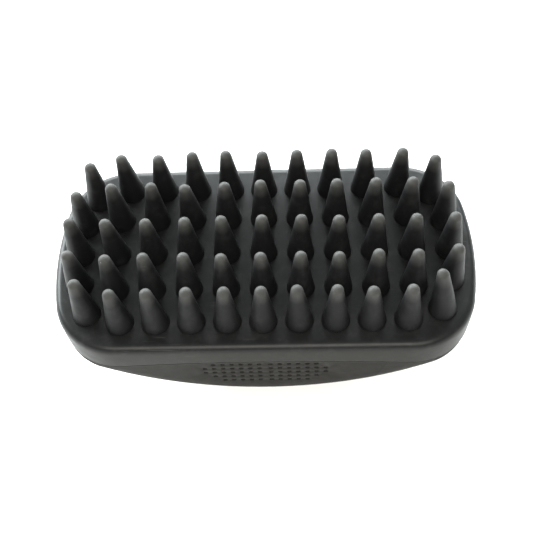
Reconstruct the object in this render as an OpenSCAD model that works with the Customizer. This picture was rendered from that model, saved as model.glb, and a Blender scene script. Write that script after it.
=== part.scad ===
// Hand-held scalp massager brush: a soft tooth pad on a rigid palm handle.
// Row frame in millimetres: X along the brush, Y across it, Z up through the teeth.
// The origin is the centre of the flat on the handle's crown, which the brush stands on.

/* [Face pad] */
// Length of the pad
pad_l = 115.5; // [113:0.5:120]
// Width of the pad
pad_w = 59; // [58.5:0.5:62]
// Corner radius of the pad, seen from above
corner_r = 18; // [16:0.5:19]
// Radius of the slight bow of the two short ends
end_r = 80; // [70:1:90]
// Height of the skirt at the middle of the long sides
skirt_h = 7.8; // [7.4:0.1:9]
// Radius of the rounded rim round the top face
rim_r = 1.5; // [1:0.1:2]
// Thickness of the pad's top skin and of its skirt
skin = 2.4; // [2:0.1:2.6]
// Radius of the long shallow arc that the skirt's lower edge follows
seam_r = 460; // [400:10:700]

/* [Teeth] */
// Height of a tooth above the pad
tooth_h = 17; // [12:0.5:20]
// Diameter of a tooth at its base
tooth_d = 7.4; // [6:0.1:7.6]
// Diameter of the ball at a tooth's tip
tip_d = 3.2; // [2.4:0.1:4]
// Distance from the middle row to the next row
row_1 = 11.2; // [11:0.1:11.4]
// Distance from the middle row to the outer row
row_2 = 21.2; // [21:0.1:21.6]
// Distance of the end teeth from the pad's outline
edge_in = 7.2; // [7:0.1:7.4]
// Spacing of the five end teeth, along the curve of the pad's end
end_pitch = 9.5; // [9.4:0.1:9.6]

/* [Handle] */
// Radius of the handle's big arc, seen from the side
arc_r = 78; // [74:1:84]
// Height of the seam above the flat that the brush stands on
handle_h = 23.2; // [22:0.2:26]
// Radius of the long rounded edges of the handle
edge_r = 9.2; // [7:0.1:11]
// How far the flat on the crown cuts into the big arc
flat_cut = 0.6; // [0.4:0.1:1.2]
// Wall thickness of the handle's floor
floor_t = 2.8; // [2.4:0.1:3.4]

/* [Grips] */
// Thickness of a grip panel
grip_t = 2; // [1.6:0.1:2.2]
// Length of a grip panel at its top edge
grip_l = 65.8; // [58:0.2:68]
// Lean of a grip panel's two ends, in degrees
grip_lean = 16; // [8:1:20]
// Spacing of the dimples
dimple_pitch = 2.46; // [2.4:0.02:2.6]
// Width of the gap between the two halves of the dimple field
dimple_gap = 3.05; // [2.6:0.05:3.4]
// Diameter of a dimple at the surface
dimple_d = 1.2; // [0.8:0.1:1.4]

/* [Hidden] */
$fn = 64;
gap = 0.05;          // clearance between fitted pieces
far = 200;           // longer than the brush, for cutting shapes

// Outline of the pad. Its corner discs stand proud of the end arcs by corner_out, so that they cross
// the arcs instead of only touching them
corner_out = 0.01;
half_l = pad_l / 2;
half_w = pad_w / 2;
corner_y = half_w - corner_r;
end_x = end_r - half_l;
corner_x = sqrt(pow(end_r - corner_r + corner_out, 2) - pow(corner_y, 2)) - end_x;
end_a = asin(corner_y / (end_r - corner_r));

// Heights
face_z = handle_h + skirt_h;
seam_z = handle_h;
skin_z = face_z - skin;
skirt_end = 5;       // how far the skirt reaches below its middle height at the two ends

// Teeth: eleven in a row. The end teeth stand on a line that follows the pad's end, edge_in inside
// its outline. The others stand on a straight line, as far apart as the last of them and the end tooth.
side_teeth = 5;      // teeth on each side of a row's middle one
columns = [-side_teeth:side_teeth];
row_y = [0, row_1, row_2];
end_line_r = end_r - edge_in;
corner_line_r = corner_r - edge_in;
end_line_l = end_line_r * end_a * PI / 180;
runner_h = 2.4;
runner_w = 5;
runner_r = min(tooth_d / 2 + 0.5, edge_in - skin - 2 * gap);
runner_z = skin_z - gap - runner_h;
tip_r = tip_d / 2;

// Carrier plate, which the pad and the strips lie on
plate_top = runner_z - gap;
plate_in = skin + 2 * gap;
groove_z = face_z - 6.9;
groove_h = 1.1;
groove_d = 0.9;
lip_t = 1.8;
lip_h = 3.8;
screw_x = 34;
screw_y = 14;
screws = [for (x = [-screw_x, 0, screw_x], y = [-screw_y, screw_y]) [x, y]];
plate_boss_r = 4.6;
plate_boss_h = 3;
head_r = 2.75;
head_h = 2;
shank_r = 1.4;
shank_l = 9.5;
head_z = plate_top - head_h - 0.3;

// Handle
arc_z = arc_r - flat_cut;
handle_in = 0.1;
handle_w = half_w - handle_in;
cavity_l = 91;
cavity_w = 46.4;
cavity_r = 12;
cavity_side = cavity_w / 2;
rib_t = 1.6;
rib_top = 12;
boss_r = 4;
pilot_r = shank_r + gap;
pilot_l = 8;
seal_in = 3.7;
seal_w = 1.5;
seal_h = 1.3;

// Grips: each panel wraps round the long edge as far in as grip_y,
// with seven columns of dimples on each side of the middle, shorter towards the ends
grip_y = half_w - 5;
dimple_rows = [5, 5, 5, 5, 5, 4, 2];
dimple_drop = [0, 0, 0, 0, 0, 0, 1];
dimple_top = seam_z - 1.5;
dimple_r = 0.75;
dimple_out = sqrt(pow(dimple_r, 2) - pow(dimple_d / 2, 2));

// Point on the end teeth's line, a length s along it from the middle of the pad's end
function end_point(s) =
    let (
        a = s / end_line_r * 180 / PI,
        corner_a = end_a + (s - end_line_l) / corner_line_r * 180 / PI
    )
    s < end_line_l
    ? [end_line_r * cos(a) - end_x, end_line_r * sin(a)]
    : [corner_x + corner_line_r * cos(corner_a), corner_y + corner_line_r * sin(corner_a)];

// Spacing at which the last straight tooth is as far from its neighbour as from the end tooth,
// which is end_at along the row and drop nearer the middle of the pad
function row_pitch(end_at, drop) =
    let (
        inner = side_teeth - 1,
        k = pow(inner, 2) - 1
    )
    (inner * end_at - sqrt(pow(end_at, 2) - k * pow(drop, 2))) / k;

// Place of the tooth in that row, -2 to 2, and column, -5 to 5
function tooth_at(row, col) =
    let (
        y = row_y[abs(row)],
        last = end_point(abs(row) * end_pitch),
        pitch = row_pitch(last[0], y - last[1])
    )
    abs(col) == side_teeth
    ? [sign(col) * last[0], sign(row) * last[1]]
    : [col * pitch, sign(row) * y];

// ---- shared shapes ----

// The pad's outline, its edge moved in by inset
module outline(inset = 0) {
    for (x = [-1, 1], y = [-1, 1])
        translate([x * corner_x, y * corner_y]) circle(corner_r - inset, $fn = 120);
    square([2 * corner_x, 2 * (half_w - inset)], center = true);
    intersection() {
        translate([-end_x, 0]) circle(end_r - inset, $fn = 360);
        translate([end_x, 0]) circle(end_r - inset, $fn = 360);
        square([pad_l, 2 * (end_r - inset) * sin(end_a)], center = true);
    }
}

// A slab of that outline from z0 up to z1
module slab(inset, z0, z1) {
    translate([0, 0, z0]) linear_extrude(z1 - z0) outline(inset);
}

// The pad's outer form: its outline with a rounded rim, as a hull of round posts
module pad_form() {
    reach = end_r - corner_r;
    hull() for (side = [-1, 1], t = [-end_a, -end_a / 2, 0, end_a / 2, end_a])
        translate([side * (reach * cos(t) - end_x), reach * sin(t), 0]) rounded_post();
}

// One post with a rounded top rim
module rounded_post() {
    translate([0, 0, seam_z - skirt_end])
        cylinder(h = face_z - rim_r - seam_z + skirt_end, r = corner_r, $fn = 32);
    for (a = [22.5:22.5:90])
        translate([0, 0, face_z - rim_r])
            cylinder(h = rim_r * sin(a), r = corner_r - rim_r * (1 - cos(a)), $fn = 32);
}

// Everything under the long arc of the seam, lowered by drop
module under_seam(drop = 0) {
    translate([0, 0, seam_z - seam_r]) rotate([90, 0, 0])
        cylinder(h = far, r = seam_r - drop, center = true, $fn = 720);
}

// A wheel on edge with rounded rims, its surface moved in by inset
module wheel(inset = 0) {
    w = handle_w - inset;
    r = edge_r - inset;
    translate([0, 0, arc_z]) rotate([90, 0, 0]) rotate_extrude($fn = 240) {
        translate([0, -w]) square([arc_r - edge_r, 2 * w]);
        translate([0, -(w - r)]) square([arc_r - inset, 2 * (w - r)]);
        for (y = [-1, 1]) translate([arc_r - edge_r, y * (w - r)]) circle(r);
    }
}

// A rectangle with round corners
module round_box(l, w, r) {
    for (x = [-1, 1], y = [-1, 1])
        translate([x * (l / 2 - r), y * (w / 2 - r)]) circle(r);
    square([l, w - 2 * r], center = true);
    square([l - 2 * r, w], center = true);
}

// ---- pieces ----

// Soft skin with a hole for each tooth, a rounded rim and a skirt that grips the plate
module face_pad() {
    color([0.2, 0.21, 0.22])
    difference() {
        pad_form();
        slab(skin, seam_z - skirt_end - 1, skin_z);
        under_seam(-gap);
        for (row = [-2:2], col = columns)
            translate([tooth_at(row, col)[0], tooth_at(row, col)[1], skin_z - 1])
                cylinder(h = skin + 2, d = tooth_d + 2 * gap);
    }
    color([0.2, 0.21, 0.22]) difference() {
        slab(skin - gap, groove_z + gap, groove_z + groove_h - gap);
        slab(skin + groove_d - gap, groove_z, groove_z + groove_h);
    }
}

// One soft strip: a runner under the skin and eleven teeth that stand through it
module tooth_strip(row) {
    color([0.17, 0.17, 0.19]) {
        translate([0, 0, runner_z]) linear_extrude(runner_h) runner_outline(row);
        for (col = columns) translate([tooth_at(row, col)[0], tooth_at(row, col)[1], 0]) tooth();
    }
}

// A tooth's neck, cone and ball tip
module tooth() {
    translate([0, 0, runner_z + 1]) cylinder(h = face_z - runner_z - 1, d = tooth_d);
    translate([0, 0, face_z]) cylinder(h = tooth_h - tip_r, d1 = tooth_d, d2 = tip_d);
    translate([0, 0, face_z + tooth_h - tip_r]) sphere(tip_r);
}

// Outline of a runner: a bar that follows the row, with a round foot under each tooth
module runner_outline(row) {
    half = [0, runner_w / 2];
    path = [for (col = columns) tooth_at(row, col)];
    polygon(concat(
        [for (p = path) p + half],
        [for (i = [len(path) - 1:-1:0]) path[i] - half]
    ));
    for (p = path) translate(p) circle(runner_r);
}

// Rigid plate that keeps the face flat and screws to the handle
module carrier_plate() {
    color([0.28, 0.29, 0.3])
    difference() {
        union() {
            slab(plate_in, seam_z + gap, plate_top);
            translate([0, 0, seam_z - lip_h]) linear_extrude(lip_h + 1)
                round_box(cavity_l - 0.6, cavity_w - 0.6, cavity_r - 0.3);
        }
        translate([0, 0, seam_z - lip_h - 1]) linear_extrude(lip_h + 1)
            round_box(cavity_l - 0.6 - 2 * lip_t, cavity_w - 0.6 - 2 * lip_t, cavity_r - 0.3 - lip_t);
        difference() {
            slab(plate_in - 1, groove_z - gap, groove_z + groove_h + gap);
            slab(plate_in + groove_d, groove_z - 1, groove_z + groove_h + 1);
        }
        for (p = screws) screw_bore(p);
    }
    color([0.28, 0.29, 0.3]) for (p = screws) difference() {
        translate([p[0], p[1], seam_z - plate_boss_h]) cylinder(h = plate_boss_h + 1, r = plate_boss_r);
        screw_bore(p);
    }
}

// Counterbored hole through the plate for one screw
module screw_bore(p) {
    translate([p[0], p[1], seam_z - 10]) cylinder(h = 20, r = shank_r + 0.2);
    translate([p[0], p[1], head_z - gap]) cylinder(h = 10, r = head_r + 0.2);
}

// Soft ring that seals the plate to the handle
module seal_ring() {
    color([0.12, 0.12, 0.13]) difference() {
        slab(seal_in, seam_z - seal_h, seam_z);
        slab(seal_in + seal_w, seam_z - seal_h - 1, seam_z + 1);
    }
}

// Hollow palm handle: a slice of a big rounded wheel under the pad's outline
module handle_shell() {
    color([0.24, 0.25, 0.26]) difference() {
        intersection() {
            wheel();
            union() {
                intersection() {
                    slab(handle_in, 0, seam_z);
                    under_seam(gap);
                }
                slab(plate_in, 0, seam_z);
            }
        }
        handle_cavity();
        difference() {
            slab(seal_in - gap, seam_z - seal_h - gap, seam_z + 1);
            slab(seal_in + seal_w + gap, seam_z - seal_h - 1, seam_z + 2);
        }
        for (side = [-1, 1]) grip_space(side, grip_t + gap, gap);
    }
    color([0.24, 0.25, 0.26]) intersection() {
        wheel(floor_t - 0.5);
        union() {
            handle_ribs();
            for (p = screws) handle_boss(p);
        }
    }
}

// The room inside the handle
module handle_cavity() {
    intersection() {
        wheel(floor_t);
        linear_extrude(seam_z + 1) round_box(cavity_l, cavity_w, cavity_r);
    }
}

// Two long ribs and three cross ribs on the handle's floor
module handle_ribs() {
    for (y = [-7, 7]) translate([-cavity_l / 2 - 0.5, y - rib_t / 2, 0]) cube([cavity_l + 1, rib_t, rib_top]);
    for (x = [-17, 0, 17])
        translate([x - rib_t / 2, -cavity_side - 0.5, 0]) cube([rib_t, cavity_w + 1, rib_top - 2]);
}

// Boss with a pilot hole for one screw
module handle_boss(p) {
    boss_top = seam_z - plate_boss_h - gap;
    difference() {
        translate([p[0], p[1], 0]) cylinder(h = boss_top, r = boss_r);
        translate([p[0], p[1], boss_top - pilot_l]) cylinder(h = pilot_l + 1, r = pilot_r);
    }
}

// The part of the handle's skin that a grip panel fills, grown by grow
module grip_space(side, depth, grow) {
    top = grip_l / 2 + grow;
    low = top - seam_z * tan(grip_lean);
    intersection() {
        difference() {
            wheel(-1);
            wheel(depth);
        }
        translate([0, side * (grip_y - grow + far / 2), 0]) cube(far, center = true);
        translate([0, far / 2, 0]) rotate([90, 0, 0]) linear_extrude(far)
            polygon([[-low, 0], [low, 0], [top, seam_z], [-top, seam_z]]);
    }
}

// Soft dimpled panel let into the long side of the handle
module grip_panel(side) {
    difference() {
        intersection() {
            grip_space(side, grip_t, 0);
            wheel();
            under_seam(2 * gap);
        }
        for (half = [-1, 1], c = [0:6], r = [0:dimple_rows[c] - 1])
            translate([
                half * (dimple_gap / 2 + c * dimple_pitch),
                side * (handle_w + dimple_out),
                dimple_top - (r + dimple_drop[c]) * dimple_pitch
            ]) sphere(dimple_r, $fn = 24);
    }
}

module grip_front() {
    color([0.27, 0.28, 0.29]) grip_panel(-1);
}

module grip_rear() {
    color([0.27, 0.28, 0.29]) grip_panel(1);
}

// Six pan-head screws that hold the plate to the handle
module carrier_screws() {
    color("silver") for (p = screws) translate([p[0], p[1], head_z]) difference() {
        union() {
            cylinder(h = head_h, r = head_r);
            translate([0, 0, -shank_l]) cylinder(h = shank_l, r = shank_r);
        }
        for (a = [0, 90]) rotate([0, 0, a]) translate([0, 0, head_h])
            cube([3, 0.7, 2], center = true);
    }
}

face_pad();
tooth_strip(-2);  // tooth_strip_1
tooth_strip(-1);  // tooth_strip_2
tooth_strip(0);  // tooth_strip_3
tooth_strip(1);  // tooth_strip_4
tooth_strip(2);  // tooth_strip_5
carrier_plate();
seal_ring();
handle_shell();
grip_front();
grip_rear();
carrier_screws();
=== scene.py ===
"""Looks of the scalp massager brush: soft pad, tooth strips and dimpled grips on a plastic palm handle."""

from math import acos, asin, atan2, cos, hypot, pi, radians, sin, sqrt, tan
from random import Random

import bmesh
import bpy
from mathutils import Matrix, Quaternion, Vector


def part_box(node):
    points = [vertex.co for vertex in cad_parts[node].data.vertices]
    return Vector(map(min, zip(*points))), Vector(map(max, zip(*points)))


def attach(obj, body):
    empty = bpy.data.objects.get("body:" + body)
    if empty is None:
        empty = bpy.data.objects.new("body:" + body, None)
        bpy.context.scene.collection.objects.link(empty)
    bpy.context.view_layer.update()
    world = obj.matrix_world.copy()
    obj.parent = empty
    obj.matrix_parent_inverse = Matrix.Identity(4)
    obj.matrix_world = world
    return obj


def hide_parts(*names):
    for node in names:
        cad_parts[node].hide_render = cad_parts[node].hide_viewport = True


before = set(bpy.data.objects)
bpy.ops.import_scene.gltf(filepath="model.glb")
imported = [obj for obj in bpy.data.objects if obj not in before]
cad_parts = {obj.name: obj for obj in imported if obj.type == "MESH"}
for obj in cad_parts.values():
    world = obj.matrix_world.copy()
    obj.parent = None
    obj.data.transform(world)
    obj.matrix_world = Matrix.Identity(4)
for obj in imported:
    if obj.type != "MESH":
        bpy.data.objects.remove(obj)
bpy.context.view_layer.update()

# ---- sizes in millimetres, in the row frame ----
MM = 0.001


def span(node):
    """Lowest and highest corner of a CAD node, in millimetres."""
    low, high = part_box(node)
    return low / MM, high / MM


pad_high = span("face_pad")[1]
HALF_L = pad_high.x
HALF_W = pad_high.y
FACE_Z = pad_high.z
TIP_Z = span("tooth_strip_3")[1].z
SKIRT_H = 7.8
SEAM_Z = FACE_Z - SKIRT_H
GAP = 0.05

# Outline of the pad
CORNER_R = 18.0
END_R = 80.0
CORNER_OUT = 0.01
CORNER_Y = HALF_W - CORNER_R
END_X = END_R - HALF_L
CORNER_X = sqrt((END_R - CORNER_R + CORNER_OUT) ** 2 - CORNER_Y**2) - END_X
END_A = asin(CORNER_Y / (END_R - CORNER_R))

# Pad. Its visible wall stands WALL_IN inside the CAD's and draws in by TAPER towards the foot
SKIN = 2.4
RIM_R = 2.3
SEAM_R = 460.0
SKIN_Z = FACE_Z - SKIN
RIB_LOW = FACE_Z - 6.85
RIB_HIGH = RIB_LOW + 1.0
RIB_D = 0.85
RIB_CHAMFER = 0.15
WALL_IN = 0.02
TAPER = 0.15
FOOT_R = 0.04
# Rounding of a tooth hole's edge, and the flat strip kept beside each rounded edge
LIP = 0.08
FLAT = 0.12

# Teeth
SIDE_TEETH = 5
ROW_Y = (0.0, 11.2, 21.2)
EDGE_IN = 7.2
END_PITCH = 9.5
NECK_R = 3.7
HOLE_R = NECK_R + 0.02
NECK_H = 0.25
TIP_R = 1.6
BALL_H = TIP_Z - FACE_Z - TIP_R
RUNNER_H = 2.4
RUNNER_HALF = 2.5
RUNNER_R = NECK_R + 0.5
RUNNER_TOP = SKIN_Z - GAP
# Chance lean of a tooth tip, how it grows with height, and the one tooth that plainly leans
LEAN = 0.28
LEAN_POWER = 1.3
FRONT_RIGHT_LEAN = Vector((-1.8, 1.3))

# Handle and grips
ARC_R = 78.0
ARC_Z = ARC_R - 0.6
EDGE_R = 9.2
WALL_Y = HALF_W - 0.1
ROUND_R = ARC_R - EDGE_R
ROUND_Y = WALL_Y - EDGE_R
GRIP_T = 2.0
GRIP_HALF = 65.8 / 2
GRIP_LEAN = radians(16)
GRIP_Y = HALF_W - 5.0
DIMPLE_PITCH = 2.46
DIMPLE_GAP = 3.05
DIMPLE_TOP = SEAM_Z - 1.5
DIMPLE_R = 0.65
DIMPLE_DEPTH = 0.85
DIMPLE_LIP = 0.05
DIMPLE_LIP_DEPTH = 0.02
DIMPLE_ROWS = (5, 5, 5, 5, 5, 4, 2)
DIMPLE_DROP = (0, 0, 0, 0, 0, 0, 1)


# ---- where things are ----
def arc(centre, radius, start, stop, count):
    """Points with normals along an arc, its last point left out."""
    out = []
    for i in range(count):
        a = start + (stop - start) * i / count
        normal = Vector((cos(a), sin(a)))
        out.append((Vector(centre) + radius * normal, normal))
    return out


def straight(start, stop, normal, count):
    """Points with normals along a straight line, its last point left out."""
    start, stop = Vector(start), Vector(stop)
    return [(start.lerp(stop, i / count), Vector(normal)) for i in range(count)]


def outline():
    """The pad's outline seen from above, anticlockwise, as points and outward normals."""
    corner, end, side = 26, 20, 60
    return (
        straight((-CORNER_X, -HALF_W), (CORNER_X, -HALF_W), (0, -1), side)
        + arc((CORNER_X, -CORNER_Y), CORNER_R, -pi / 2, -END_A, corner)
        + arc((-END_X, 0), END_R, -END_A, END_A, end)
        + arc((CORNER_X, CORNER_Y), CORNER_R, END_A, pi / 2, corner)
        + straight((CORNER_X, HALF_W), (-CORNER_X, HALF_W), (0, 1), side)
        + arc((-CORNER_X, CORNER_Y), CORNER_R, pi / 2, pi - END_A, corner)
        + arc((END_X, 0), END_R, pi - END_A, pi + END_A, end)
        + arc((-CORNER_X, -CORNER_Y), CORNER_R, pi + END_A, 3 * pi / 2, corner)
    )


def seam_z(x):
    """Height of the seam between pad and handle, a long shallow arc."""
    return SEAM_Z - (SEAM_R - sqrt(SEAM_R**2 - x**2))


def end_point(s):
    """Point on the line of the end teeth, a length s along it from the middle of the pad's end."""
    end_r = END_R - EDGE_IN
    corner_r = CORNER_R - EDGE_IN
    if s < end_r * END_A:
        a = s / end_r
        return end_r * cos(a) - END_X, end_r * sin(a)
    a = END_A + (s - end_r * END_A) / corner_r
    return CORNER_X + corner_r * cos(a), CORNER_Y + corner_r * sin(a)


def row_pitch(end_at, drop):
    """Spacing at which the last straight tooth is as far from its neighbour as from the end tooth."""
    inner = SIDE_TEETH - 1
    k = inner**2 - 1
    return (inner * end_at - sqrt(end_at**2 - k * drop**2)) / k


def tooth_at(row, col):
    """Place of the tooth in that row, -2 to 2, and column, -5 to 5."""
    side = (col > 0) - (col < 0)
    back = (row > 0) - (row < 0)
    end_at, end_y = end_point(abs(row) * END_PITCH)
    y = ROW_Y[abs(row)]
    if abs(col) == SIDE_TEETH:
        return Vector((side * end_at, back * end_y))
    return Vector((col * row_pitch(end_at, y - end_y), back * y))


ROWS = range(-2, 3)
COLUMNS = range(-SIDE_TEETH, SIDE_TEETH + 1)
TEETH = [(row, col) for row in ROWS for col in COLUMNS]


# ---- mesh helpers ----
SHARP = radians(32)


def ring(bm, points):
    return [bm.verts.new(Vector(p) * MM) for p in points]


def circle(centre, radius, z, count=40):
    return [
        (centre[0] + radius * cos(2 * pi * i / count), centre[1] + radius * sin(2 * pi * i / count), z)
        for i in range(count)
    ]


def bridge(bm, a, b, closed=True):
    """Quads between two rings with the same number of points."""
    for i in range(len(a) if closed else len(a) - 1):
        j = (i + 1) % len(a)
        bm.faces.new((a[i], a[j], b[j], b[i]))


def bridge_all(bm, rings, closed=True):
    for a, b in zip(rings, rings[1:]):
        bridge(bm, a, b, closed)


def fill(bm, loops, normal):
    """One flat face inside the first loop, with the other loops as holes in it."""
    edges = []
    for loop in loops:
        for i, v in enumerate(loop):
            w = loop[(i + 1) % len(loop)]
            edges.append(bm.edges.get((v, w)) or bm.edges.new((v, w)))
    bmesh.ops.triangle_fill(bm, use_beauty=True, edges=edges, normal=normal)


def piece(bm, name, replaces, material):
    """Turns the mesh into a finished piece that rides on the brush."""
    bmesh.ops.recalc_face_normals(bm, faces=bm.faces)
    mesh = bpy.data.meshes.new(name)
    bm.to_mesh(mesh)
    bm.free()
    mesh.shade_smooth()
    mesh.set_sharp_from_angle(angle=SHARP)
    mesh.materials.append(material)
    obj = bpy.data.objects.new(name, mesh)
    bpy.context.scene.collection.objects.link(obj)
    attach(obj, "root")
    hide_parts(replaces)
    return obj


# ---- materials ----
class Nodes:
    """A material's node tree, with short calls to add to it."""

    def __init__(self, name):
        self.material = bpy.data.materials.new(name)
        self.material.use_nodes = True
        self.tree = self.material.node_tree
        self.shader = self.tree.nodes["Principled BSDF"]
        self.coords = self.add("ShaderNodeTexCoord").outputs["Object"]

    def add(self, kind, inputs=(), **settings):
        node = self.tree.nodes.new(kind)
        for key, value in settings.items():
            setattr(node, key, value)
        for key, value in dict(inputs).items():
            if hasattr(value, "is_output"):
                self.tree.links.new(value, node.inputs[key])
            else:
                node.inputs[key].default_value = value
        return node

    def noise(self, scale, detail=3.0, rough=0.5, where=None):
        return self.add(
            "ShaderNodeTexNoise",
            {"Vector": where or self.coords, "Scale": scale, "Detail": detail, "Roughness": rough},
        ).outputs["Fac"]

    def spread(self, value, low, high, to_low=0.0, to_high=1.0):
        """Maps low..high of a value to to_low..to_high, held at both ends."""
        return self.add(
            "ShaderNodeMapRange",
            {"Value": value, "From Min": low, "From Max": high, "To Min": to_low, "To Max": to_high},
        ).outputs["Result"]

    def times(self, a, b):
        return self.add("ShaderNodeMath", {0: a, 1: b}, operation="MULTIPLY").outputs[0]

    def blend(self, factor, a, b):
        node = self.add("ShaderNodeMix", data_type="RGBA")
        colours = [s for s in node.inputs if s.type == "RGBA"]
        for socket, value in zip(colours, (a, b)):
            if hasattr(value, "is_output"):
                self.tree.links.new(value, socket)
            else:
                socket.default_value = (*value, 1)
        self.tree.links.new(factor, node.inputs[0])
        return next(s for s in node.outputs if s.type == "RGBA")

    def stretched(self, along, across, turn):
        """Coordinates that draw a pattern out into streaks."""
        return self.add(
            "ShaderNodeMapping",
            {"Vector": self.coords, "Scale": (along, across, across), "Rotation": (0.0, 0.4, turn)},
        ).outputs["Vector"]

    def parts(self):
        """The three object coordinates, in metres."""
        return self.add("ShaderNodeSeparateXYZ", {"Vector": self.coords}).outputs

    def under_seam(self, reach):
        """1 at the seam's arc, falling to 0 at that many millimetres below it."""
        x, _, z = self.parts()
        drop = self.times(self.times(x, x), 0.5 / (SEAM_R * MM))
        level = self.add("ShaderNodeMath", {0: z, 1: drop}, operation="ADD").outputs[0]
        return self.spread(level, (SEAM_Z - reach) * MM, (SEAM_Z - 0.3 * reach) * MM)

    def specks(self, scale, size):
        """Small round grains, few and unevenly spread."""
        cells = self.add("ShaderNodeTexVoronoi", {"Vector": self.coords, "Scale": scale})
        grain = self.spread(cells.outputs["Distance"], size, size * 0.5)
        chosen = self.spread(cells.outputs["Color"], 0.8, 0.84)
        patch = self.spread(self.noise(55.0, 2.0), 0.52, 0.62)
        return self.times(self.times(grain, chosen), patch)

    def bump(self, heights):
        """Bump from (height, distance in metres) pairs."""
        normal = None
        for height, distance in heights:
            inputs = {"Height": height, "Distance": distance, "Strength": 1.0}
            if normal:
                inputs["Normal"] = normal
            normal = self.add("ShaderNodeBump", inputs).outputs["Normal"]
        self.tree.links.new(normal, self.shader.inputs["Normal"])

    def set(self, **values):
        for key, value in values.items():
            socket = self.shader.inputs[key.replace("_", " ")]
            if hasattr(value, "is_output"):
                self.tree.links.new(value, socket)
            else:
                socket.default_value = value


DUST = (0.16, 0.16, 0.15)
# Pale tone for the masks below: partly wear, and partly painted light on the tooth tips, the pad's wall and
# the handle's seam line
PALE_WEAR_AND_LIGHT = (0.052, 0.052, 0.0495)


def silicone(name, dark, light, rough, level=0.5, wear_and_light_mask=None):
    """Matte moulded silicone: faint mottling, a fine eggshell grain, dust specks and hairline scratches.

    level is the specular level, or makes one that varies; the last argument makes the mask of what is
    painted paler: wear on the tooth tips, and painted light on the tips, the pad's wall and the seam line."""
    n = Nodes(name)
    base = n.blend(n.spread(n.noise(70.0, 4.0, 0.6), 0.3, 0.7), dark, light)
    # Blends in the pale tone where the mask says: wear, and painted light on the tips, the wall and the seam
    # line
    if wear_and_light_mask:
        base = n.blend(wear_and_light_mask(n), base, PALE_WEAR_AND_LIGHT)
    film = n.times(n.spread(n.noise(260.0, 3.0, 0.65), 0.5, 0.8), 0.06)
    base = n.blend(film, base, DUST)
    scratch_mask = n.spread(n.noise(60.0, 1.0), 0.56, 0.66)
    line = n.spread(n.noise(1.0, 1.0, 0.4, n.stretched(90.0, 2600.0, 0.9)), 0.71, 0.76)
    base = n.blend(n.times(n.times(line, scratch_mask), 0.15), base, DUST)
    base = n.blend(n.times(n.specks(420.0, 0.1), 0.75), base, DUST)
    grain = n.noise(5200.0, 2.0)
    n.set(
        Base_Color=base,
        Roughness=n.spread(n.noise(330.0, 4.0, 0.6), 0.25, 0.75, rough - 0.05, rough + 0.06),
        IOR=1.43,
        Specular_IOR_Level=level(n) if callable(level) else level,
    )
    n.bump([(grain, 0.000005), (n.noise(500.0, 3.0), 0.000015)])
    return n.material


def plastic(name, dark, light, rough, level=0.5, wear_and_light_mask=None):
    """Moulded plastic with a fine spark-eroded texture and faint wipe marks; its last argument is as in
    silicone, a mask of what is painted paler.
    """
    n = Nodes(name)
    base = n.blend(n.spread(n.noise(45.0, 4.0, 0.6), 0.3, 0.7), dark, light)
    # Blends in the pale tone where the mask says: a painted highlight along the seam line
    if wear_and_light_mask:
        base = n.blend(wear_and_light_mask(n), base, PALE_WEAR_AND_LIGHT)
    base = n.blend(n.times(n.specks(300.0, 0.09), 0.5), base, DUST)
    wipes = n.noise(1.0, 3.0, 0.6, n.stretched(60.0, 700.0, 0.3))
    n.set(
        Base_Color=base,
        Roughness=n.spread(wipes, 0.3, 0.7, rough - 0.05, rough + 0.07),
        IOR=1.46,
        Specular_IOR_Level=level,
    )
    n.bump([(n.noise(6500.0, 2.0), 0.000008)])
    return n.material


def steel(name):
    """Turned steel with fine tool marks."""
    n = Nodes(name)
    marks = n.noise(1.0, 3.0, 0.6, n.stretched(400.0, 9000.0, 0.0))
    tone = n.spread(n.noise(900.0), 0.3, 0.7)
    n.set(
        Base_Color=n.blend(tone, (0.5, 0.5, 0.51), (0.62, 0.62, 0.61)),
        Metallic=1.0,
        Roughness=n.spread(marks, 0.3, 0.7, 0.28, 0.42),
    )
    n.bump([(marks, 0.000004)])
    return n.material


def tip_wear_and_painted_highlight(n):
    """Teeth painted pale towards their tips, unevenly: a painted highlight where the tips face the light
    above, with some wear.
    """
    # Painted highlight: colour grows paler with height, up to the tips
    height = n.spread(n.parts()[2], (TIP_Z - 4.8) * MM, (TIP_Z - 0.6) * MM, 0.0, 0.9)
    return n.times(height, n.spread(n.noise(150.0), 0.3, 0.7, 0.75, 1.0))


def wall_painted_light(n):
    """Painted light: the pad's wall is painted paler than its face, standing in for the floor's light that
    the wall reflects.
    """
    # Painted light: a paler colour on the wall below the rim
    return n.spread(n.parts()[2], (FACE_Z - 0.3 * RIM_R) * MM, (FACE_Z - RIM_R) * MM, 0.0, 0.55)


def wall_gloss(n):
    """Specular level: the wall is rubbed dull, and the rim and face keep their shine."""
    return n.spread(n.parts()[2], (FACE_Z - RIM_R) * MM, (FACE_Z - 0.3 * RIM_R) * MM, 0.03, 0.2)


def seam_painted_highlight(n):
    """Painted highlight: a pale line along the seam, standing in for light caught where the handle's edge
    stands a little proud.
    """
    # Painted highlight: a pale band just below the seam
    return n.times(n.under_seam(0.5), 0.6)


HANDLE_DARK = (0.017, 0.0166, 0.0155)
HANDLE_LIGHT = (0.021, 0.0205, 0.019)
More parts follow.
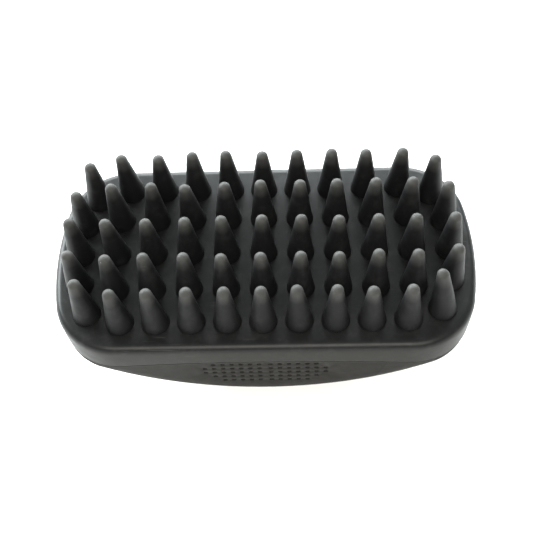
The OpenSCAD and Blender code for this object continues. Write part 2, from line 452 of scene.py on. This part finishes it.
# The pad's wall, the tooth tips and the seam line of grips and handle carry painted light in their base
# colour
PAD = silicone(
    "pad_silicone_look", (0.009, 0.0093, 0.0094), (0.012, 0.0124, 0.0125), 0.33, wall_gloss, wall_painted_light
)
TOOTH = silicone(
    "tooth_silicone_look", (0.006, 0.006, 0.0065), (0.008, 0.008, 0.0086), 0.55, 0.2, tip_wear_and_painted_highlight
)
GRIP = silicone("grip_silicone_look", HANDLE_DARK, HANDLE_LIGHT, 0.6, 0.12, seam_painted_highlight)
SHELL = plastic("handle_plastic_look", HANDLE_DARK, HANDLE_LIGHT, 0.6, 0.12, seam_painted_highlight)
CARRIER = plastic("carrier_plastic_look", (0.052, 0.054, 0.056), (0.066, 0.068, 0.070), 0.45)
SEAL = silicone("seal_rubber_look", (0.014, 0.014, 0.015), (0.020, 0.020, 0.021), 0.55)
STEEL = steel("screw_steel_look")


# ---- pieces ----
def wall_profile():
    """The pad's wall in section, from the foot up: (inset from the outline, share of the way up)."""
    steps = 8
    return [(WALL_IN + TAPER * (1 - i / steps) ** 2, i / steps) for i in range(steps + 1)]


def pad_skin():
    """Soft skin: tapered wall, rounded rim, flat face with a lipped hole for each tooth, and snap rib."""
    bm = bmesh.new()
    edge = outline()
    rim_z = FACE_Z - RIM_R

    def lap(inset, z):
        return ring(bm, [(*(p - inset * n), z(p.x)) for p, n in edge])

    def foot(x):
        return seam_z(x) + GAP

    rings = [lap(SKIN, foot)]
    foot_in = WALL_IN + TAPER
    for i in range(4):
        a = pi / 2 * i / 4
        rings.append(lap(foot_in + FOOT_R * (1 - sin(a)), lambda x: foot(x) + FOOT_R * (1 - cos(a))))
    for inset, t in wall_profile():
        rings.append(lap(inset, lambda x: (foot(x) + FOOT_R) * (1 - t) + rim_z * t))
    arc_steps = 8
    for i in range(1, arc_steps + 1):
        a = pi / 2 * i / arc_steps
        rings.append(lap(WALL_IN + RIM_R * (1 - cos(a)), lambda x: rim_z + RIM_R * sin(a)))
    rings.append(lap(WALL_IN + RIM_R + FLAT, lambda x: FACE_Z))
    bridge_all(bm, rings)

    inner = [
        rings[0],
        lap(SKIN, lambda x: RIB_LOW),
        lap(SKIN + RIB_D, lambda x: RIB_LOW + RIB_CHAMFER),
        lap(SKIN + RIB_D, lambda x: RIB_HIGH - RIB_CHAMFER),
        lap(SKIN, lambda x: RIB_HIGH),
        lap(SKIN, lambda x: SKIN_Z),
    ]
    bridge_all(bm, inner)

    top_holes, low_holes = [], []
    for row, col in TEETH:
        at = tooth_at(row, col)
        rims = [ring(bm, circle(at, HOLE_R + LIP + FLAT, FACE_Z))]
        for i in range(4):
            a = pi / 2 * i / 3
            rims.append(ring(bm, circle(at, HOLE_R + LIP * (1 - sin(a)), FACE_Z - LIP * (1 - cos(a)))))
        rims.append(ring(bm, circle(at, HOLE_R, SKIN_Z)))
        bridge_all(bm, rims)
        top_holes.append(rims[0])
        low_holes.append(rims[-1])
    fill(bm, [rings[-1]] + top_holes, (0, 0, 1))
    fill(bm, [inner[-1]] + low_holes, (0, 0, -1))
    return piece(bm, "pad_skin", "face_pad", PAD)


def runner_outline(path):
    """Outline of a runner: a bar along the row with a round foot under each tooth."""

    def cut(here, there, side):
        """Angle at which the bar's edge towards the next foot leaves this foot's circle."""
        run = there - here
        start = Vector((0, side * RUNNER_HALF))
        b = start.dot(run) / run.length_squared
        t = -b + sqrt(b * b + (RUNNER_R**2 - start.length_squared) / run.length_squared)
        leave = start + t * run
        return atan2(leave.y, leave.x)

    points = []

    def foot(at, start, stop, count):
        while stop < start:
            stop += 2 * pi
        for i in range(count + 1):
            a = start + (stop - start) * i / count
            points.append((at.x + RUNNER_R * cos(a), at.y + RUNNER_R * sin(a)))

    last = len(path) - 1
    for i in range(last):
        if i:
            foot(path[i], cut(path[i], path[i - 1], -1), cut(path[i], path[i + 1], -1), 10)
    foot(path[last], cut(path[last], path[last - 1], -1), cut(path[last], path[last - 1], 1), 30)
    for i in range(last - 1, 0, -1):
        foot(path[i], cut(path[i], path[i + 1], 1), cut(path[i], path[i - 1], 1), 10)
    foot(path[0], cut(path[0], path[1], 1), cut(path[0], path[1], -1), 30)
    return points


def tooth_profile():
    """A tooth in section from its neck to just below its top: (radius, height above the pad's face)."""
    slope = acos(TIP_R / hypot(NECK_R, BALL_H)) - atan2(BALL_H, NECK_R)
    shoulder_h = BALL_H + TIP_R * sin(slope)
    shoulder_r = TIP_R * cos(slope)
    steps = [(NECK_R, -NECK_H), (NECK_R, 0.0)]
    cone = 14
    for i in range(1, cone + 1):
        t = i / cone
        steps.append((NECK_R + (shoulder_r - NECK_R) * t, shoulder_h * t))
    ball = 9
    for i in range(1, ball):
        a = slope + (pi / 2 - slope) * i / ball
        steps.append((TIP_R * cos(a), BALL_H + TIP_R * sin(a)))
    return steps


def leaning(h, lean):
    """How far a leaning tooth is off its axis at a height above the pad."""
    return lean * (max(h, 0.0) / (TIP_Z - FACE_Z)) ** LEAN_POWER


def tooth_strip(row, leans):
    """One strip: a runner under the skin and eleven teeth, each leaning a little its own way."""
    bm = bmesh.new()
    path = [tooth_at(row, col) for col in COLUMNS]
    edge = runner_outline(path)
    low = ring(bm, [(*p, RUNNER_TOP - RUNNER_H) for p in edge])
    high = ring(bm, [(*p, RUNNER_TOP) for p in edge])
    bridge(bm, low, high)
    fill(bm, [low], (0, 0, -1))
    feet = []
    for at, lean in zip(path, leans):
        rings = [ring(bm, circle(at, NECK_R, RUNNER_TOP))]
        for radius, h in tooth_profile():
            rings.append(ring(bm, circle(at + leaning(h, lean), radius, FACE_Z + h)))
        bridge_all(bm, rings)
        tip = at + leaning(TIP_Z - FACE_Z, lean)
        top = bm.verts.new(Vector((tip.x, tip.y, TIP_Z)) * MM)
        for i, v in enumerate(rings[-1]):
            bm.faces.new((v, rings[-1][(i + 1) % len(rings[-1])], top))
        feet.append(rings[0])
    fill(bm, [high] + feet, (0, 0, 1))
    number = row + 3
    return piece(bm, f"teeth_row_{number}", f"tooth_strip_{number}", TOOTH)


def on_wheel(side, rho, psi, y):
    """Point of the handle's skin, rho from the wheel's axis and psi round from straight down."""
    return rho * sin(psi), side * y, ARC_Z - rho * cos(psi)


def end_psi(rho):
    """How far round the wheel a grip's leaning end lies, at that distance from the axis."""
    reach = GRIP_HALF + (ARC_Z - SEAM_Z) * tan(GRIP_LEAN)
    return asin(cos(GRIP_LEAN) * reach / rho) - GRIP_LEAN


def grip_face(bm, side, depth, columns):
    """One face of a grip: the edge of its flat wall, and the strip that wraps round below it."""
    wall_y = WALL_Y - depth
    radius = EDGE_R - depth
    low_angle = acos((GRIP_Y - ROUND_Y) / radius)
    rows = []
    round_steps = 12
    for j in range(round_steps + 1):
        a = low_angle * j / round_steps
        rho = ROUND_R + radius * sin(a)
        y = ROUND_Y + radius * cos(a)
        rows.append(ring(bm, [on_wheel(side, rho, end_psi(rho) * s, y) for s in columns]))
    # The leaning end meets the curved seam at an x that settles within four rounds
    seam_end = GRIP_HALF
    for _ in range(4):
        seam_end = GRIP_HALF - (SEAM_Z - seam_z(seam_end) + 2 * GAP) * tan(GRIP_LEAN)
    seam_row = []
    for s in columns:
        x = s * seam_end
        seam_row.append((x, side * wall_y, seam_z(x) - 2 * GAP))
    return rows, ring(bm, seam_row)


def dimple(bm, side, x, z):
    """A round dimple in the grip's flat wall; returns the loop where it meets the wall."""
    count, steps = 24, 5
    sphere_r = (DIMPLE_R**2 + DIMPLE_DEPTH**2) / (2 * DIMPLE_DEPTH)
    low = sphere_r - DIMPLE_DEPTH
    rings = [(DIMPLE_R + DIMPLE_LIP, 0.0), (DIMPLE_R + DIMPLE_LIP * 0.3, DIMPLE_LIP_DEPTH)]
    for i in range(1, steps):
        radius = DIMPLE_R * (1 - i / steps)
        rings.append((radius, sqrt(sphere_r**2 - radius**2) - low))
    made = []
    for radius, depth in rings:
        points = circle((x, z), radius, 0, count)
        made.append(ring(bm, [(p[0], side * (WALL_Y - depth), p[1]) for p in points]))
    bridge_all(bm, made)
    bottom = bm.verts.new(Vector((x, side * (WALL_Y - DIMPLE_DEPTH), z)) * MM)
    for i, v in enumerate(made[-1]):
        bm.faces.new((v, made[-1][(i + 1) % count], bottom))
    return made[0]


def grip(side, name, node):
    """Soft panel let into the long side of the handle, with its field of dimples."""
    bm = bmesh.new()
    count = 56
    columns = [2 * i / count - 1 for i in range(count + 1)]
    faces = []
    for depth in (0.0, GRIP_T):
        rows, seam_row = grip_face(bm, side, depth, columns)
        bridge_all(bm, rows, closed=False)
        loop = seam_row + rows[0][::-1]
        holes = []
        if depth == 0.0:
            for half in (-1, 1):
                for c, many in enumerate(DIMPLE_ROWS):
                    for r in range(many):
                        x = half * (DIMPLE_GAP / 2 + c * DIMPLE_PITCH)
                        z = DIMPLE_TOP - (r + DIMPLE_DROP[c]) * DIMPLE_PITCH
                        holes.append(dimple(bm, side, x, z))
        fill(bm, [loop] + holes, (0, side, 0))
        border = seam_row + [row[-1] for row in rows] + rows[-1][-2::-1] + [row[0] for row in rows[-2::-1]]
        faces.append(border)
    bridge(bm, *faces)
    return piece(bm, name, node, GRIP)


# ---- camera, light and floor ----
def camera():
    aim = Vector((0.75, -4.5, FACE_Z)) * MM
    azimuth, elevation, roll = radians(-4.47), radians(58.95), radians(-4.92)
    distance = 242.7 * MM
    level = cos(elevation)
    forward = Vector((sin(azimuth) * level, cos(azimuth) * level, -sin(elevation)))
    data = bpy.data.cameras.new("camera")
    data.lens = 60.17
    data.clip_start = 0.01
    obj = bpy.data.objects.new("camera", data)
    bpy.context.scene.collection.objects.link(obj)
    obj.location = aim - distance * forward
    obj.rotation_mode = "QUATERNION"
    obj.rotation_quaternion = forward.to_track_quat("-Z", "Y") @ Quaternion((0, 0, 1), roll)
    bpy.context.scene.camera = obj


def softbox(name, place, target, size, power, tint):
    data = bpy.data.lights.new(name, "AREA")
    data.shape = "RECTANGLE"
    data.size, data.size_y = size
    data.energy = power
    data.color = tint
    obj = bpy.data.objects.new(name, data)
    bpy.context.scene.collection.objects.link(obj)
    obj.location = place
    obj.rotation_mode = "QUATERNION"
    obj.rotation_quaternion = (Vector(target) - Vector(place)).to_track_quat("-Z", "Y")


# Tints of the light
COOL = (0.93, 0.99, 1.0)
WARM = (1.0, 0.97, 0.9)


def studio():
    """Pale floor, dim white surround, a large panel behind, and softboxes above the front and
    at the back left."""
    world = bpy.data.worlds.new("surround")
    bpy.context.scene.world = world
    world.use_nodes = True
    background = world.node_tree.nodes["Background"]
    background.inputs["Color"].default_value = (0.97, 0.99, 1.0, 1)
    background.inputs["Strength"].default_value = 0.45
    softbox("back_panel", (0.0, 0.7, 0.39), (0, 0, 0.03), (1.1, 0.5), 34.0, COOL)
    softbox("front_top", (0.0, -0.62, 0.8), (0, -0.1, 0), (0.9, 0.5), 13.0, WARM)
    softbox("left_side", (-0.7, 0.45, 0.35), (0, 0, 0.03), (0.45, 0.4), 18.0, COOL)

    n = Nodes("floor_look")
    tone = n.spread(n.noise(6.0), 0.3, 0.7, 0.90, 0.92)
    n.set(Base_Color=n.blend(tone, (0.86, 0.86, 0.86), (0.95, 0.95, 0.95)), Roughness=0.9)
    mesh = bpy.data.meshes.new("floor")
    half = 3.0
    corners = [(-half, -half, 0), (half, -half, 0), (half, half, 0), (-half, half, 0)]
    mesh.from_pydata(corners, [], [(0, 1, 2, 3)])
    mesh.materials.append(n.material)
    floor = bpy.data.objects.new("floor", mesh)
    bpy.context.scene.collection.objects.link(floor)
    bpy.context.scene.view_settings.view_transform = "Standard"


def dress(node, material):
    """Gives a CAD node its material."""
    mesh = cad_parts[node].data
    mesh.materials.clear()
    mesh.materials.append(material)


camera()
studio()
pad_skin()
rng = Random(7)
for row in ROWS:
    leans = [Vector((rng.gauss(0, LEAN), rng.gauss(0, LEAN))) for _ in COLUMNS]
    if row == ROWS[0]:
        leans[-1] = FRONT_RIGHT_LEAN
    tooth_strip(row, leans)
grip(-1, "grip_panel_front", "grip_front")
grip(1, "grip_panel_rear", "grip_rear")
dress("handle_shell", SHELL)
dress("carrier_plate", CARRIER)
dress("seal_ring", SEAL)
dress("carrier_screws", STEEL)
